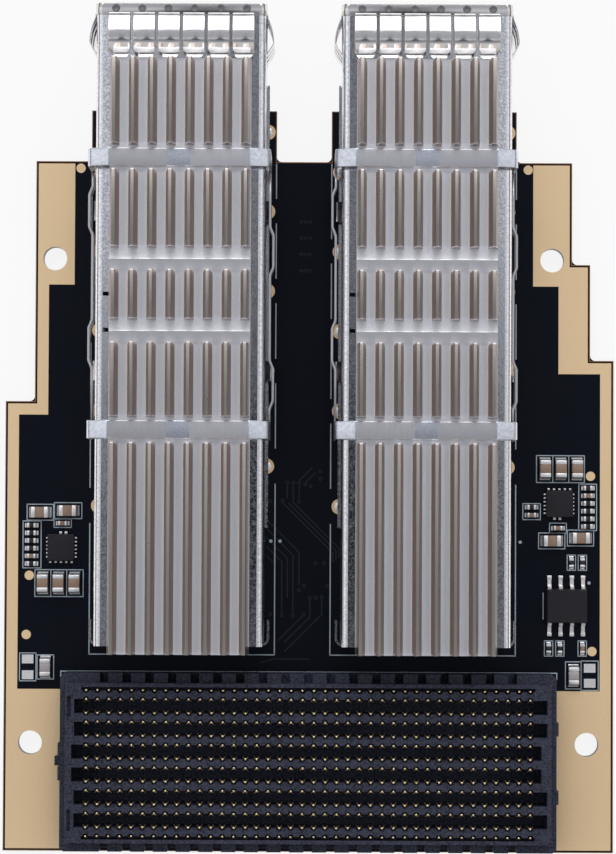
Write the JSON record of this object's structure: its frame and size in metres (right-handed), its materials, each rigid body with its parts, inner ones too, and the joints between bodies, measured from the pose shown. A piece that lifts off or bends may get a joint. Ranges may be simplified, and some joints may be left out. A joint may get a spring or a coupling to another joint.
{
  "type": "fpga mezzanine card",
  "caption": "Mezzanine card with a stepped board, an open-pin-field board connector and two pluggable module cages under clipped riding heat sinks.",
  "frame": {"origin": "midway between the two screw holes beside the board-to-board connector, on the board's underside", "axes": "+Y along the card towards the cage mouths, +Z out of the board on the component side, +X to the right seen from above with the mouths up"},
  "size_m": [0.069, 0.0947, 0.0149],
  "materials": {
    "board": "satin black mask",
    "gold_plating": "matt immersion gold",
    "connector_plastic": "matt moulded",
    "gold_contacts": "polished",
    "cage_sheet": "satin nickel plate",
    "finger_sheet": "bright tin plate",
    "sink_metal": "bright nickel plate, drawn",
    "clip_steel": "satin",
    "receptacle_plastic": "matt moulded",
    "brown_ceramic": "fired ceramic",
    "grey_ceramic": "fired ceramic",
    "tinned_metal": "solder",
    "resistor_glaze": "glazed",
    "chip_epoxy": "matt moulded"
  },
  "bodies": {
    "root": {"circuit_board": "board", "exposed_plating": "gold_plating", "mezzanine_housing": "connector_plastic", "mezzanine_contacts": "gold_contacts", "left_cage_shell": "cage_sheet", "left_cage_floor": "cage_sheet", "left_spring_fingers": "finger_sheet", "left_heat_sink": "sink_metal", "left_retaining_clip": "clip_steel", "left_receptacle_housing": "receptacle_plastic", "left_receptacle_contacts": "gold_contacts", "right_cage_shell": "cage_sheet", "right_cage_floor": "cage_sheet", "right_spring_fingers": "finger_sheet", "right_heat_sink": "sink_metal", "right_retaining_clip": "clip_steel", "right_receptacle_housing": "receptacle_plastic", "right_receptacle_contacts": "gold_contacts", "large_capacitor_bodies": "brown_ceramic", "large_capacitor_ends": "tinned_metal", "grey_capacitor_bodies": "grey_ceramic", "grey_capacitor_ends": "tinned_metal", "small_capacitor_bodies": "brown_ceramic", "small_capacitor_ends": "tinned_metal", "resistor_bodies": "resistor_glaze", "resistor_ends": "tinned_metal", "regulator_bodies": "chip_epoxy", "regulator_terminals": "tinned_metal", "driver_body": "chip_epoxy", "driver_leads": "tinned_metal", "solder_pads": "tinned_metal"}
  },
  "joints": []
}
